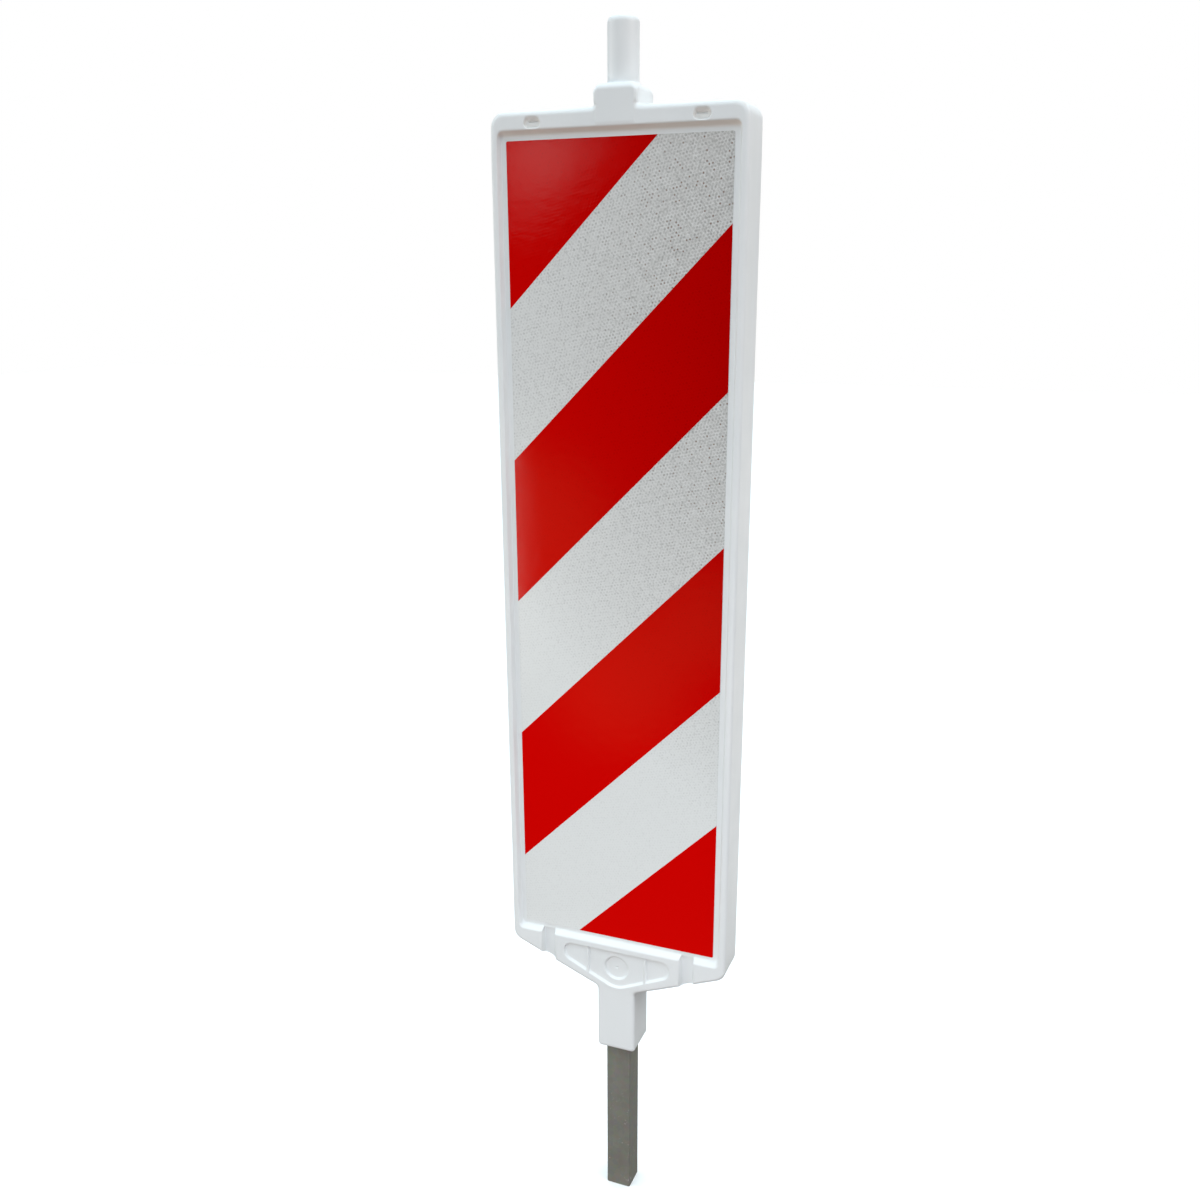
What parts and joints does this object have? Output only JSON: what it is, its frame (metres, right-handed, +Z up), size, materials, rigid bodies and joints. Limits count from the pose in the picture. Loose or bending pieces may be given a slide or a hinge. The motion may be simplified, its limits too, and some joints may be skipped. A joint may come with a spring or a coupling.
{
  "type": "vertical reflective road marker",
  "caption": "Road guide marker: hollow moulded plastic panel with a rim, red and white slanted reflective face, lamp stub on top and a square steel tube foot.",
  "frame": {"origin": "middle of the square steel tube's lower end", "axes": "+Z up along the tube, -Y out of the striped face, +X to the right of a viewer facing the striped face"},
  "size_m": [0.306, 0.056, 1.5325],
  "materials": {
    "moulded_plastic": "white moulded polyethylene, satin",
    "galvanised_steel": "dull weathered zinc, scuffed at the lower end",
    "white_sheet": "white prismatic retroreflective sheet with a fine honeycomb of cells",
    "red_film": "glossy transparent red film over the reflective sheet"
  },
  "bodies": {
    "root": {"body": "moulded_plastic", "steel_tube": "galvanised_steel", "reflective_sheet": "white_sheet", "red_fields": "red_film"}
  },
  "joints": []
}
